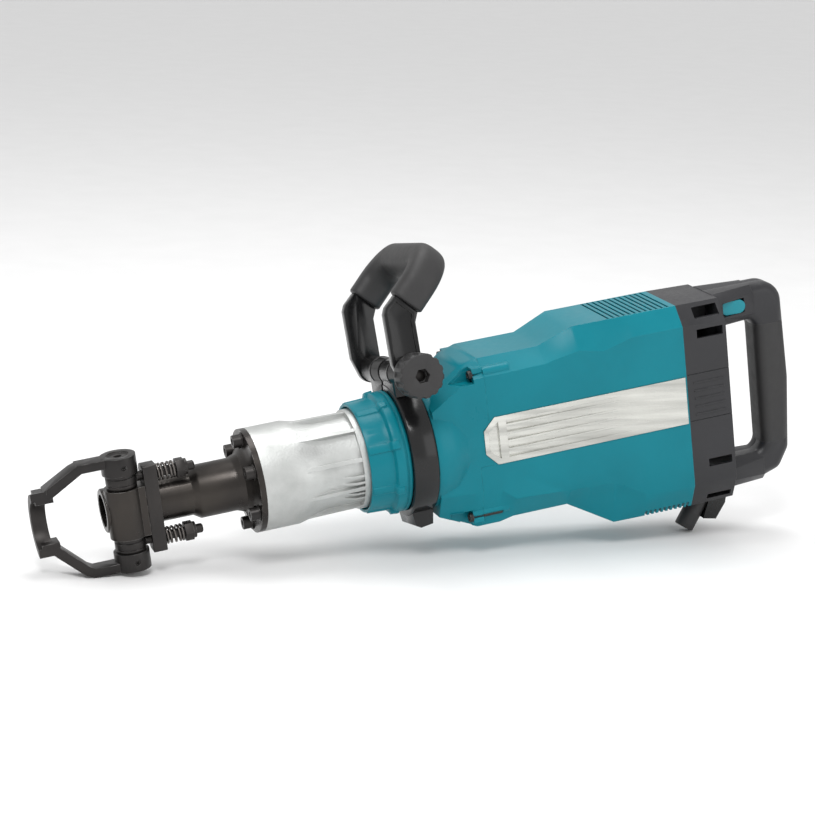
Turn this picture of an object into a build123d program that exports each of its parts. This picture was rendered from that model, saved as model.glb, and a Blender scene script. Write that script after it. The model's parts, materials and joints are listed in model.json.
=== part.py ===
from build123d import *
import os
from math import acos, atan2, cos, degrees, pi, radians, sin, tan

os.makedirs("parts", exist_ok=True)

# An electric jackhammer of the 30 kg breaker class, in millimetres. It is drawn with X along
# the hammer's axis from the socket mouth to the rear handle, Z up and -Y the operator's side.
# keep() then lays each piece down as the tool rests on a floor: nose low, on the lower
# retainer arm and the tip of the cord guard.

# ---- driving dimensions -------------------------------------------------------------------
# tool holder and retainer
HEX_FLATS = 30.0
LEAD_IN_R = 17.6
LEAD_IN = 8.0
HOLDER_R = 23.5
SLEEVE_R = 28.5
HUB_X, HUB_Y, HUB_R, HUB_HALF = 20.8, -15.6, 19.5, 26.8
COLLAR_R, COLLAR_TOP = 16.0, 42.2
BOSS_R, BOSS_LOW, BOSS_TOP = 18.8, 42.5, 62.0
ARM_LOW, ARM_TOP, ARM_HALF, ARM_START = 52.2, 61.5, 10.0, -24.0
EYE_Z = 35.1
PULL = 1.5
PLATE_X, PLATE_BACK, PLATE_HALF = 42.5, 57.0, 47.5
NUT_X, NUT_BACK, BOLT_END = 79.0, 91.0, 99.0
# barrel
FLANGE_X, FLANGE_BACK, FLANGE_R, SCREW_PCD = 156.5, 163.0, 56.0, 92.0
CYLINDER_R, BORE_R = 37.5, 30.0
BARREL_TAIL_R, COLLAR_X, RING_X, GROOVE_X, HOUSING_X = 50.0, 277.0, 305.0, 320.0, 349.5
# side handle, drawn upright and then swivelled about the hammer's axis
SWIVEL_DEG = -11.0
CLAMP_X, CLAMP_Z, BAND_R, BAND_OUT = 334.0, 84.0, 64.0, 72.5
ARM_Y, ARM_THICK, ARM_FRONT, ARM_REAR = 77.0, 10.0, 313.0, 345.0
GRIP_WIDE, GRIP_THICK, CROSSBAR_THICK = 38.0, 27.0, 33.5
BEND_Z, RISE, REACH = 66.0, 45.0, 67.0
# teal body: station, top, half of top, shoulder, side crease and floor
STATIONS = [
    (352.0, 58.0, 26.0, 50.0, -46.0, -72.0),
    (394.0, 88.0, 33.0, 76.0, -49.0, -91.5),
    (414.0, 93.7, 35.0, 77.0, -49.5, -91.5),
    (420.0, 93.7, 35.0, 77.0, -50.0, -91.5),
    (436.0, 93.7, 35.0, 77.0, -64.0, -88.3),
    (484.0, 93.7, 35.0, 78.0, -67.0, -88.3),
    (499.0, 99.4, 36.5, 81.0, -68.0, -88.3),
    (524.0, 109.0, 39.0, 85.0, -69.0, -103.6),
    (552.0, 109.0, 39.0, 79.0, -70.0, -121.0),
    (588.0, 109.0, 39.0, 88.0, -92.0, -121.6),
    (646.0, 109.0, 39.0, 88.0, -94.0, -122.0),
]
HALF_WIDTH, HALF_FLOOR, WALL = 55.0, 40.0, 4.0
SEAM_HIGH, SEAM_LOW, REAR_X, REAR_BACK = 414.0, 400.0, 646.0, 697.0
COVER_SPLIT = 5.0
PANEL_X, PANEL_LOW, PANEL_HIGH = 407.0, -21.5, 31.5
# rear handle
GAP_TOP, GAP_LOW, GAP_BACK = 70.0, -85.0, 750.5
HANDLE_BACK, HANDLE_BOW, HANDLE_HALF = 786.0, 2.0, 19.0
GUARD_R, GUARD_LEAN, GUARD_TIP_X, GUARD_TIP_Z = 11.0, 36.0, 651.7, -160.3
# drive: 12 teeth drive 48, and 14 on that shaft drive 44 on the crankshaft
MODULE_1, MODULE_2 = 1.75, 2.0
TEETH = (12, 48, 14, 44)
CRANK_X, THROW = 482.0, 30.0
LAY_X = CRANK_X + MODULE_2 * (TEETH[2] + TEETH[3]) / 2
MOTOR_X = LAY_X + MODULE_1 * (TEETH[0] + TEETH[1]) / 2
PIN_X = 315.0

# the tool lies on its lower retainer arm and on the cord guard's tip
GUARD_LOW_X = GUARD_TIP_X + GUARD_R * cos(radians(GUARD_LEAN))
GUARD_LOW_Z = GUARD_TIP_Z - GUARD_R * sin(radians(GUARD_LEAN))
PITCH = degrees(atan2(-ARM_TOP - GUARD_LOW_Z, GUARD_LOW_X - ARM_START))
RESTING = Location((0, 0, 0), (0, -PITCH, 0))
SWIVEL = Location((0, 0, 0), (SWIVEL_DEG, 0, 0))


# ---- helpers: each works in the part that is open around it ---------------------------------
def along_x(x, y=0.0, z=0.0):
    """Plane that faces the rear handle; its axes are the hammer's Y and Z."""
    return Plane((x, y, z), x_dir=(0, 1, 0), z_dir=(1, 0, 0))


def along_y(x, y=0.0, z=0.0):
    """Plane that faces the far side; its axes are the hammer's X and, downwards, Z."""
    return Plane((x, y, z), x_dir=(1, 0, 0), z_dir=(0, 1, 0))


def bar(plane, radius, length, bore=0.0, mode=Mode.ADD):
    """Round bar, or a ring when it has a bore, standing on a plane."""
    with BuildSketch(plane) as end:
        Circle(radius)
        if bore:
            Circle(bore, mode=Mode.SUBTRACT)
    extrude(end.sketch, amount=length, mode=mode)


def prism(plane, sides, flats, length, mode=Mode.ADD, turn=0.0):
    """Regular prism of the given width across flats."""
    with BuildSketch(plane) as end:
        RegularPolygon(flats / 2, sides, major_radius=False, rotation=turn)
    extrude(end.sketch, amount=length, mode=mode)


def block(x, y, z, mode=Mode.ADD):
    """Box between a low and a high value on each axis."""
    with BuildSketch(Plane(((x[0] + x[1]) / 2, (y[0] + y[1]) / 2, z[0]))) as base:
        Rectangle(x[1] - x[0], y[1] - y[0])
    extrude(base.sketch, amount=z[1] - z[0], mode=mode)


def slab(points, y, mode=Mode.ADD):
    """Plate with an (x, z) outline, between two values of Y."""
    with BuildSketch(Plane((0, y[1], 0), x_dir=(1, 0, 0), z_dir=(0, -1, 0))) as face:
        with BuildLine():
            Polyline(*points, close=True)
        make_face()
    extrude(face.sketch, amount=y[1] - y[0], mode=mode)


def rounded_slab(points, radii, y, mode=Mode.ADD):
    """Plate with a rounded (x, z) outline, between two values of Y."""
    with BuildSketch(Plane((0, y[1], 0), x_dir=(1, 0, 0), z_dir=(0, -1, 0))) as face:
        with BuildLine():
            FilletPolyline(*points, radius=radii, close=True)
        make_face()
    extrude(face.sketch, amount=y[1] - y[0], mode=mode)


def turn(points, mode=Mode.ADD):
    """Body turned about the hammer's axis from an outline of (x, radius) points."""
    with BuildSketch(Plane.XZ) as outline:
        with BuildLine():
            Polyline(*points, close=True)
        make_face()
    revolve(outline.sketch, axis=Axis.X, mode=mode)


def body_section(row, wall):
    """Eight-sided section of the body at one station, drawn in by a wall."""
    x, top, half_top, shoulder, crease, floor = row
    corner = 0.42 * wall
    side = [
        (half_top - corner, top - wall),
        (HALF_WIDTH - wall, shoulder - corner),
        (HALF_WIDTH - wall, crease + corner),
        (HALF_FLOOR - corner, floor + wall),
    ]
    with BuildSketch(along_x(x)) as face:
        with BuildLine():
            Polyline(*side, *[(-y, z) for y, z in reversed(side)], close=True)
        make_face()
    return face.sketch


def body_loft(rows, wall=0.0, mode=Mode.ADD):
    """Faceted loft through the body's stations."""
    loft([body_section(row, wall) for row in rows], ruled=True, mode=mode)


def between(x):
    """Body station interpolated at any X."""
    for low, high in zip(STATIONS, STATIONS[1:]):
        if low[0] <= x <= high[0]:
            part_way = (x - low[0]) / (high[0] - low[0])
            return tuple(a + (b - a) * part_way for a, b in zip(low, high))


def rows_from(start, end):
    """Stations of one shell, with its own two ends added."""
    inner = [row for row in STATIONS if start < row[0] < end]
    return [between(start), *inner, between(end)]


def gear(plane, teeth, module, width, bore, phase=0.0):
    """Involute spur gear with stub teeth, 20 degree pressure angle and 0.3 mm of backlash."""
    pitch_r = module * teeth / 2
    base_r = pitch_r * cos(radians(20))
    root_r, tip_r = pitch_r - 1.25 * module, pitch_r + 0.8 * module
    radii = [max(base_r, root_r + 0.01), pitch_r, tip_r]

    def involute(radius):
        angle = acos(min(1.0, base_r / radius))
        return tan(angle) - angle

    def half_tooth(radius):
        return pi / (2 * teeth) - 0.15 / (2 * pitch_r) + involute(pitch_r) - involute(radius)

    points = []
    for tooth in range(teeth):
        middle = radians(phase) + 2 * pi * tooth / teeth
        rising = [(radius, middle - half_tooth(radius)) for radius in radii]
        falling = [(radius, middle + half_tooth(radius)) for radius in reversed(radii)]
        feet = [(root_r, rising[0][1])], [(root_r, falling[-1][1])]
        for radius, angle in [*feet[0], *rising, *falling, *feet[1]]:
            points.append((radius * cos(angle), radius * sin(angle)))
    with BuildSketch(plane) as face:
        with BuildLine():
            Polyline(*points, close=True)
        make_face()
        Circle(bore, mode=Mode.SUBTRACT)
    extrude(face.sketch, amount=width)


def bearing(plane, bore, outer, width):
    """Sealed ball bearing as one solid, with a groove between its rings on each face."""
    middle = (bore + outer) / 2
    bar(plane, outer, width, bore=bore)
    for start in (0.0, width - 0.6):
        bar(plane.offset(start), middle + 1.2, 0.6, bore=middle - 1.2, mode=Mode.SUBTRACT)


def keep(piece, label, swivelled=False):
    """Lay a finished piece down as the tool rests, and write it."""
    place = RESTING * SWIVEL if swivelled else RESTING
    lying = piece.part.moved(place)
    lying.label = label
    export_step(lying, f"parts/{label}.step")


# ---- nose: tool holder, retainer and its sprung eye bolts ------------------------------------
BOLT_BORE_R = 22.0
SCREW_ANGLES = [92 + 60 * spot for spot in range(6)]
with BuildPart() as tool_holder:
    turn([(0, 0), (0, HOLDER_R - 1), (1, HOLDER_R), (93, HOLDER_R), (101, SLEEVE_R),
          (140, SLEEVE_R), (148, SLEEVE_R + 3), (153, SLEEVE_R + 10), (FLANGE_X, FLANGE_R - 8),
          (FLANGE_X, FLANGE_R), (FLANGE_BACK, FLANGE_R), (FLANGE_BACK, 0)])
    bar(Plane((HUB_X, HUB_Y, -HUB_HALF)), HUB_R, 2 * HUB_HALF)
    block((HUB_X, PLATE_X - 0.3), (HUB_Y - HUB_R + 6, HUB_Y + HUB_R), (-HUB_HALF, HUB_HALF))
    prism(along_x(0), 6, HEX_FLATS, 104.0, mode=Mode.SUBTRACT, turn=30)
    bar(along_x(0), LEAD_IN_R, LEAD_IN, mode=Mode.SUBTRACT)
    bar(along_x(103.9), BOLT_BORE_R, 60, mode=Mode.SUBTRACT)
    for side in (1, -1):
        for shift in (0.0, -PULL - 0.1):
            bar(Plane((HUB_X + shift, HUB_Y, side * 16.0), z_dir=(0, 0, side)), 8.06, 12,
                mode=Mode.SUBTRACT)
        block((HUB_X - PULL - 0.1, HUB_X), (HUB_Y - 8.06, HUB_Y + 8.06),
              sorted((side * 16.0, side * 28.0)), mode=Mode.SUBTRACT)
    for angle in SCREW_ANGLES:
        y, z = SCREW_PCD / 2 * cos(radians(angle)), SCREW_PCD / 2 * sin(radians(angle))
        bar(along_x(FLANGE_X - 12, y, z), 8.6, 12, mode=Mode.SUBTRACT)
        bar(along_x(FLANGE_X - 1, y, z), 4.1, 10, mode=Mode.SUBTRACT)
keep(tool_holder, "tool_holder")

SADDLE_R, STRIP, STRIP_X, STRIP_WIDE = 26.5, 9.0, -73.0, 16.0
END_Y, SET_X, SET_Z = -6.0, HUB_X + 1.5, 52.0
with BuildPart() as tool_retainer:
    for side in (1, -1):
        low, high = sorted((side * BOSS_LOW, side * BOSS_TOP))
        block((ARM_START, HUB_X), (HUB_Y - ARM_HALF, HUB_Y + ARM_HALF),
              sorted((side * ARM_LOW, side * ARM_TOP)))
        bar(Plane((HUB_X, HUB_Y, low)), BOSS_R, high - low)
        # the arm turns in and across to the end block
        with BuildSketch(Plane((-20, HUB_Y, side * 56.85), x_dir=(0, 1, 0), z_dir=(-1, 0, 0))) as root:
            Rectangle(2 * ARM_HALF, ARM_TOP - ARM_LOW)
        with BuildSketch(Plane((-28, HUB_Y, side * 53.6), x_dir=(0, 1, 0),
                               z_dir=(-1, 0, -0.5 * side))) as knee:
            Rectangle(2 * ARM_HALF, 10.2)
        with BuildSketch(Plane((-56, END_Y + ARM_HALF, side * 30.0), x_dir=(0, 1, 0),
                               z_dir=(-1, 0, -0.5 * side))) as end:
            Rectangle(2 * ARM_HALF, 11.0)
        loft([root.sketch, knee.sketch], ruled=True)
        loft([knee.sketch, end.sketch], ruled=True)
        block((-69, -50), (END_Y, END_Y + 2 * ARM_HALF), sorted((side * 22.0, side * 33.5)))
    # front strip, a saddle round the tool's shank
    bar(along_x(STRIP_X, -10.9), SADDLE_R + STRIP, STRIP_WIDE, bore=SADDLE_R)
    block((STRIP_X - 1, STRIP_X + STRIP_WIDE + 1), (-60, END_Y), (-60, 60), mode=Mode.SUBTRACT)
    for side in (1, -1):
        bar(Plane((HUB_X, HUB_Y, side * 40), z_dir=(0, 0, side)), 10.05, 40, mode=Mode.SUBTRACT)
        bar(Plane((HUB_X, HUB_Y, side * (BOSS_TOP - 1.2)), z_dir=(0, 0, side)), 12.0, 4,
            mode=Mode.SUBTRACT)
        bar(Plane((SET_X, HUB_Y - 9, side * SET_Z), z_dir=(0, -1, 0)), 3.05, 12, mode=Mode.SUBTRACT)
keep(tool_retainer, "tool_retainer")

with BuildPart() as retainer_pins:
    for side in (1, -1):
        bar(Plane((HUB_X, HUB_Y, side * 16.2), z_dir=(0, 0, side)), 8.0, 11.0)
        bar(Plane((HUB_X, HUB_Y, side * 27.1), z_dir=(0, 0, side)), 10.0, BOSS_TOP - 1.4 - 27.1)
        prism(Plane((HUB_X, HUB_Y, side * (BOSS_TOP - 6)), z_dir=(0, 0, side)), 6, 8, 6,
              mode=Mode.SUBTRACT)
keep(retainer_pins, "retainer_pins")

with BuildPart() as retainer_collars:
    for side in (1, -1):
        base = Plane((HUB_X, HUB_Y, side * 27.1), z_dir=(0, 0, side))
        bar(base, COLLAR_R, COLLAR_TOP - 27.1, bore=10.0)
        bar(base.offset(EYE_Z - 27.1 - 3.8), COLLAR_R + 1, 7.6, bore=13.0, mode=Mode.SUBTRACT)
keep(retainer_collars, "retainer_collars")

with BuildPart() as retainer_set_screws:
    for side in (1, -1):
        base = Plane((SET_X, HUB_Y - 10.1, side * SET_Z), z_dir=(0, -1, 0))
        bar(base, 3.0, 7.4)
        prism(base.offset(4.4), 6, 3, 4, mode=Mode.SUBTRACT)
keep(retainer_set_screws, "retainer_set_screws")

with BuildPart() as eye_bolts:
    for side in (1, -1):
        bar(Plane((HUB_X, HUB_Y, side * EYE_Z - 3.5)), 16.2, 7.0, bore=13.15)
        block((HUB_X + 13.5, HUB_X + 17), (HUB_Y - 4, HUB_Y + 4),
              (side * EYE_Z - 3.5, side * EYE_Z + 3.5))
        bar(along_x(HUB_X + 16.4, HUB_Y, side * EYE_Z), 5.0, BOLT_END - HUB_X - 16.4)
    chamfer(eye_bolts.faces().filter_by(Axis.X).sort_by(Axis.X)[-2:].edges(), 1.2)
keep(eye_bolts, "eye_bolts")

with BuildPart() as spring_plate:
    block((PLATE_X, PLATE_BACK), (-28.5, -3.5), (-PLATE_HALF, PLATE_HALF))
    fillet(spring_plate.edges().filter_by(Axis.X).group_by(Axis.Y)[-1], 10)
    fillet(spring_plate.edges().filter_by(Axis.X).group_by(Axis.Y)[0], 2.5)
    bar(along_x(PLATE_X - 1), HOLDER_R + 0.05, 20, mode=Mode.SUBTRACT)
    for side in (1, -1):
        bar(along_x(PLATE_X - 1, HUB_Y, side * EYE_Z), 5.4, 20, mode=Mode.SUBTRACT)
keep(spring_plate, "spring_plate")

SPRING_R, WIRE_R, SPRING_TURNS = 8.2, 1.25, 5
with BuildPart() as retainer_springs:
    for side in (1, -1):
        start = (PLATE_BACK + WIRE_R + 0.1, HUB_Y, side * EYE_Z)
        height = NUT_X - PLATE_BACK - 2 * WIRE_R - 0.2
        with BuildLine() as coil:
            Helix(height / SPRING_TURNS, height, SPRING_R, center=start, direction=(1, 0, 0))
        with BuildSketch(Plane(coil.line @ 0, z_dir=coil.line % 0)) as wire:
            Circle(WIRE_R)
        sweep(wire.sketch, path=coil.line, is_frenet=True)
keep(retainer_springs, "retainer_springs")

with BuildPart() as spring_nuts:
    for side in (1, -1):
        base = along_x(NUT_X, HUB_Y, side * EYE_Z)
        prism(base, 6, 18.5, NUT_BACK - NUT_X - 3)
        bar(base.offset(NUT_BACK - NUT_X - 3), 8.6, 3)
        bar(base, 5.0, 20, mode=Mode.SUBTRACT)
keep(spring_nuts, "spring_nuts")

# ---- barrel: flange screws, cast housing, cylinder and the striking train --------------------
with BuildPart() as flange_screws:
    for angle in SCREW_ANGLES:
        y, z = SCREW_PCD / 2 * cos(radians(angle)), SCREW_PCD / 2 * sin(radians(angle))
        bar(along_x(FLANGE_X, y, z), 4.0, 30)
        bar(along_x(FLANGE_X - 1.6, y, z), 8.4, 1.6)
        bar(along_x(FLANGE_X - 10.6, y, z), 7.0, 9.0)
        prism(along_x(FLANGE_X - 10.6, y, z), 6, 6.2, 5.5, mode=Mode.SUBTRACT)
keep(flange_screws, "flange_screws")

RIB_ANGLES = [15, 52, 90, 128, 165, 200, 236, 270, 305, 340]
with BuildPart() as barrel_housing:
    turn([(FLANGE_BACK, CYLINDER_R + 0.02), (FLANGE_BACK, FLANGE_R), (203, FLANGE_R),
          (232, BARREL_TAIL_R - 1), (HOUSING_X + 30, BARREL_TAIL_R - 1),
          (HOUSING_X + 30, CYLINDER_R + 0.02)])
    for angle in RIB_ANGLES:
        ridge = Plane.XZ.rotated((angle - 90, 0, 0))
        with BuildSketch(ridge) as rib:
            with BuildLine():
                Polyline((206, 46), (206, 54.6), (220, 54.2), (COLLAR_X + 4, 53.4), (COLLAR_X + 4, 46),
                         close=True)
            make_face()
        extrude(rib.sketch, amount=2.2, both=True)
    for angle in (184, 192.5, 207.5, 215.5):
        ridge = Plane.XZ.rotated((angle - 90, 0, 0))
        with BuildSketch(ridge) as fin:
            with BuildLine():
                Polyline((240, 47), (262, 53), (COLLAR_X + 4, 53), (COLLAR_X + 4, 47), close=True)
            make_face()
        extrude(fin.sketch, amount=1.3, both=True)
    turn([(COLLAR_X - 6, 46), (COLLAR_X - 6, 54.2), (COLLAR_X + 6, 54.2), (COLLAR_X + 6, 46)])
    for angle in SCREW_ANGLES:
        y, z = SCREW_PCD / 2 * cos(radians(angle)), SCREW_PCD / 2 * sin(radians(angle))
        bar(along_x(FLANGE_BACK - 1, y, z), 4.0, 26, mode=Mode.SUBTRACT)
keep(barrel_housing, "barrel_housing")

with BuildPart() as cylinder:
    turn([(182, BORE_R), (182, CYLINDER_R), (412, CYLINDER_R), (412, BORE_R)])
    for x, count in ((240, 6), (285, 4)):
        for spot in range(count):
            angle = 2 * pi * spot / count
            bar(Plane((x, 0, 0), z_dir=(0, cos(angle), sin(angle))), 2.5, 45, mode=Mode.SUBTRACT)
keep(cylinder, "cylinder")

with BuildPart() as bolt_guide:
    turn([(FLANGE_BACK + 3, 15.06), (FLANGE_BACK + 3, CYLINDER_R - 0.1), (181.8, CYLINDER_R - 0.1),
          (181.8, 24), (176, 24), (176, 15.06)])
keep(bolt_guide, "bolt_guide")

with BuildPart() as nose_buffer:
    turn([(FLANGE_BACK + 0.1, 24), (FLANGE_BACK + 0.1, 36.5), (FLANGE_BACK + 2.9, 36.5),
          (FLANGE_BACK + 2.9, 24)])
keep(nose_buffer, "nose_buffer")

with BuildPart() as impact_bolt:
    turn([(106, 0), (106, 13), (108, 15), (113, 15), (117, 19), (117, 21.93), (148, 21.93),
          (148, 18), (154, 15), (190, 15), (192, 13), (192, 0)])
keep(impact_bolt, "impact_bolt")

STRIKER_X = 200.0
with BuildPart() as striker:
    turn([(STRIKER_X, 0), (STRIKER_X, 16), (STRIKER_X + 12, 18), (STRIKER_X + 14, 29.94),
          (STRIKER_X + 24, 29.94), (STRIKER_X + 24, 27.6), (STRIKER_X + 28.4, 27.6),
          (STRIKER_X + 28.4, 29.94), (STRIKER_X + 58, 29.94), (STRIKER_X + 60, 28),
          (STRIKER_X + 60, 0)])
keep(striker, "striker")

with BuildPart() as striker_ring:
    turn([(STRIKER_X + 24.2, 27.65), (STRIKER_X + 24.2, 29.9), (STRIKER_X + 28.2, 29.9),
          (STRIKER_X + 28.2, 27.65)])
keep(striker_ring, "striker_ring")

with BuildPart() as piston:
    turn([(296, 0), (296, 29), (297, 29.94), (303, 29.94), (303, 27.6), (307, 27.6),
          (307, 29.94), (336, 29.94), (336, 22), (308, 22), (308, 0)])
    bar(Plane((PIN_X + 4, 0, -40)), 6.05, 80, mode=Mode.SUBTRACT)
keep(piston, "piston")

with BuildPart() as piston_ring:
    turn([(303.2, 27.65), (303.2, 29.9), (306.8, 29.9), (306.8, 27.65)])
keep(piston_ring, "piston_ring")

with BuildPart() as piston_pin:
    bar(Plane((PIN_X + 4, 0, -28)), 6.0, 56, bore=3.0)
keep(piston_pin, "piston_pin")

ROD_END_X = CRANK_X - THROW
with BuildPart() as connecting_rod:
    bar(Plane((PIN_X + 4, 0, -6)), 10.5, 12)
    bar(Plane((ROD_END_X, 0, -6)), 17, 12)
    block((PIN_X + 4, ROD_END_X), (-7, 7), (-4, 4))
    bar(Plane((PIN_X + 4, 0, -6)), 6.05, 12, mode=Mode.SUBTRACT)
    bar(Plane((ROD_END_X, 0, -6)), 9.1, 12, mode=Mode.SUBTRACT)
keep(connecting_rod, "connecting_rod")

# ---- collar and swivelling side handle -----------------------------------------------------
with BuildPart() as front_collar:
    turn([(COLLAR_X, 56.5), (COLLAR_X, 59.5), (RING_X - 2, 60.5), (RING_X, 65.5), (RING_X + 10, 66),
          (RING_X + 10, 64.8), (RING_X + 12, 64.8), (RING_X + 12, 66), (GROOVE_X, 66),
          (GROOVE_X, BAND_R - 0.4), (HOUSING_X, BAND_R - 0.4), (HOUSING_X, BARREL_TAIL_R - 1),
          (COLLAR_X + 8, BARREL_TAIL_R - 1), (COLLAR_X + 8, 56.5)])
    for spot in range(8):
        ridge = Plane.XZ.rotated((22.5 + 45 * spot, 0, 0))
        with BuildSketch(ridge) as tab:
            with BuildLine():
                Polyline((COLLAR_X + 1, 58), (COLLAR_X + 1, 60.6), (RING_X - 4, 61.6), (RING_X - 2, 66.8),
                         (RING_X + 6, 67.6), (RING_X + 6, 58), close=True)
            make_face()
        extrude(tab.sketch, amount=4.5, both=True)
keep(front_collar, "front_collar")

with BuildPart() as clamp_band:
    turn([(321, BAND_R), (321, BAND_OUT - 1), (323, BAND_OUT), (346, BAND_OUT), (348, BAND_OUT - 1),
          (348, BAND_R)])
    for side in (1, -1):
        bar(along_y(CLAMP_X, 3.0 if side > 0 else -71.6, CLAMP_Z), 14.5, 68.6)
        bar(along_y(CLAMP_X, 30.0 if side > 0 else -33, CLAMP_Z), 15.5, 3)
        block((322, 346), sorted((side * 3.0, side * 44.0)), (60, CLAMP_Z))
    # rubbing foot under the band
    slab([(323, -66), (325, -82), (330, -85), (344, -83), (347, -66)], (-26, 26))
    for y in (-20, -7, 7, 20):
        block((326, 345), (y - 3.2, y + 3.2), (-90, -79), mode=Mode.SUBTRACT)
    bar(along_x(320), BAND_R, 30, mode=Mode.SUBTRACT)
    block((318, 350), (-3, 3), (55, 110), mode=Mode.SUBTRACT)
    bar(along_y(CLAMP_X, -80, CLAMP_Z), 6.0, 160, mode=Mode.SUBTRACT)
keep(clamp_band, "clamp_band", swivelled=True)

with BuildPart() as clamp_bolt:
    bar(along_y(CLAMP_X, -100, CLAMP_Z), 5.95, 186)
    prism(along_y(CLAMP_X, ARM_Y + 6.2, CLAMP_Z), 6, 17, 7)
    bar(along_y(CLAMP_X, ARM_Y + 5.2, CLAMP_Z), 13, 1.6)
keep(clamp_bolt, "clamp_bolt", swivelled=True)

with BuildPart() as clamp_washer:
    bar(along_y(CLAMP_X, -ARM_Y - 8.0, CLAMP_Z), 13.5, 2.6, bore=6.05)
keep(clamp_washer, "clamp_washer", swivelled=True)

KNOB_R, KNOB_Y, KNOB_THICK, NOTCHES = 24.0, -ARM_Y - 8.2, 27.0, 15
with BuildPart() as clamp_knob:
    bar(along_y(CLAMP_X, KNOB_Y - KNOB_THICK, CLAMP_Z), KNOB_R, KNOB_THICK)
    chamfer(clamp_knob.edges().filter_by(GeomType.CIRCLE), 2.0)
    for notch in range(NOTCHES):
        angle = 2 * pi * notch / NOTCHES
        x, z = CLAMP_X + (KNOB_R + 1.6) * cos(angle), CLAMP_Z + (KNOB_R + 1.6) * sin(angle)
        bar(along_y(x, KNOB_Y - KNOB_THICK - 1, z), 3.4, KNOB_THICK - 5, mode=Mode.SUBTRACT)
    prism(along_y(CLAMP_X, KNOB_Y - KNOB_THICK, CLAMP_Z), 6, 14, 10, mode=Mode.SUBTRACT)
    bar(along_y(CLAMP_X, KNOB_Y - KNOB_THICK + 9, CLAMP_Z), 6.05, KNOB_THICK, mode=Mode.SUBTRACT)
keep(clamp_knob, "clamp_knob", swivelled=True)


LEAN = Vector(cos(radians(RISE)), 0, sin(radians(RISE)))
PIVOT = Vector(CLAMP_X, 0, CLAMP_Z)
BEND = Vector(CLAMP_X - 4, 0, CLAMP_Z + BEND_Z)
ACROSS = Vector(-LEAN.Z, 0, LEAN.X)
U_PLANE = Plane(BEND, x_dir=(0, 1, 0), z_dir=(-ACROSS.X, 0, -ACROSS.Z))


def handle_bow(outer, inner, wide, start, reach, crossbar, mode=Mode.ADD):
    """Upper part of the U in its leaning plane, between two half widths."""
    thick = outer - inner
    with BuildSketch(U_PLANE) as face:
        with Locations((0, (start + reach) / 2)):
            Rectangle(2 * outer, reach - start)
        fillet(face.vertices().group_by(Axis.Y)[-1], 26 + thick / 2)
        with BuildSketch(mode=Mode.SUBTRACT) as gap:
            with Locations((0, (start + reach - crossbar) / 2)):
                Rectangle(2 * inner, reach - crossbar - start)
            fillet(gap.vertices().group_by(Axis.Y)[-1], 26 - thick / 2)
    extrude(face.sketch, amount=wide / 2, both=True, mode=mode)


with BuildPart() as side_handle_frame:
    for side in (1, -1):
        y = sorted((side * (ARM_Y - ARM_THICK / 2), side * (ARM_Y + ARM_THICK / 2)))
        slab([(CLAMP_X - 15, CLAMP_Z - 4), (CLAMP_X + 11, CLAMP_Z - 4), (ARM_REAR, BEND.Z - 12),
              (BEND.X + 19.4, BEND.Z - 1.8), (BEND.X - 1.8, BEND.Z + 19.4),
              (BEND.X - 14, BEND.Z + 8), (ARM_FRONT, BEND.Z + 1), (ARM_FRONT, CLAMP_Z + 14)], y)
        bar(along_y(CLAMP_X, y[0], CLAMP_Z), 15.5, ARM_THICK)
        # channel in the arm's outer face
        pocket = (side * (ARM_Y + ARM_THICK / 2 - 3.5), side * (ARM_Y + ARM_THICK / 2 + 1))
        slab([(ARM_FRONT + 4, CLAMP_Z + 19), (ARM_REAR - 4, CLAMP_Z + 19), (ARM_REAR - 4, BEND.Z - 10),
              (BEND.X + 13, BEND.Z - 3), (BEND.X - 2, BEND.Z + 13), (BEND.X - 10.5, BEND.Z + 6),
              (ARM_FRONT + 4, BEND.Z)], sorted(pocket), mode=Mode.SUBTRACT)
        bar(along_y(CLAMP_X, y[0] - 1, CLAMP_Z), 6.1, ARM_THICK + 2, mode=Mode.SUBTRACT)
    handle_bow(ARM_Y + 5, ARM_Y - 5, 26, 8, REACH + 4, 10)
keep(side_handle_frame, "side_handle_frame", swivelled=True)

with BuildPart() as side_handle_grip:
    handle_bow(ARM_Y + GRIP_THICK / 2, ARM_Y - GRIP_THICK / 2, GRIP_WIDE, 13, REACH + 16,
               CROSSBAR_THICK)
    for side in (1, -1):
        flat = side_handle_grip.faces().sort_by(Axis(PIVOT, ACROSS))[-1 if side > 0 else 0]
        fillet(flat.edges(), 4)
    handle_bow(ARM_Y + 5, ARM_Y - 5, 26, 12, REACH + 4, 10, mode=Mode.SUBTRACT)
keep(side_handle_grip, "side_handle_grip", swivelled=True)

# ---- teal shells, silver side panels and their screws -----------------------------------------
PANEL_OUTLINE = [(PANEL_X, -8), (PANEL_X, 18), (PANEL_X + 13, PANEL_HIGH), (REAR_X - 2, PANEL_HIGH),
                 (REAR_X - 2, PANEL_LOW), (PANEL_X + 13, PANEL_LOW)]
# body screws: side, y, z and the seam they cross
SCREW_SPOTS = [(1, 47.0, 80.0, SEAM_HIGH), (-1, 47.0, 80.0, SEAM_HIGH),
               (1, 44.5, -78.0, SEAM_LOW), (-1, 44.5, -78.0, SEAM_LOW)]


def panel_windows():
    """Openings for the two silver panels."""
    slab(PANEL_OUTLINE, (-60, -HALF_WIDTH + WALL), mode=Mode.SUBTRACT)
    slab(PANEL_OUTLINE, (HALF_WIDTH - WALL, 60), mode=Mode.SUBTRACT)


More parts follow.
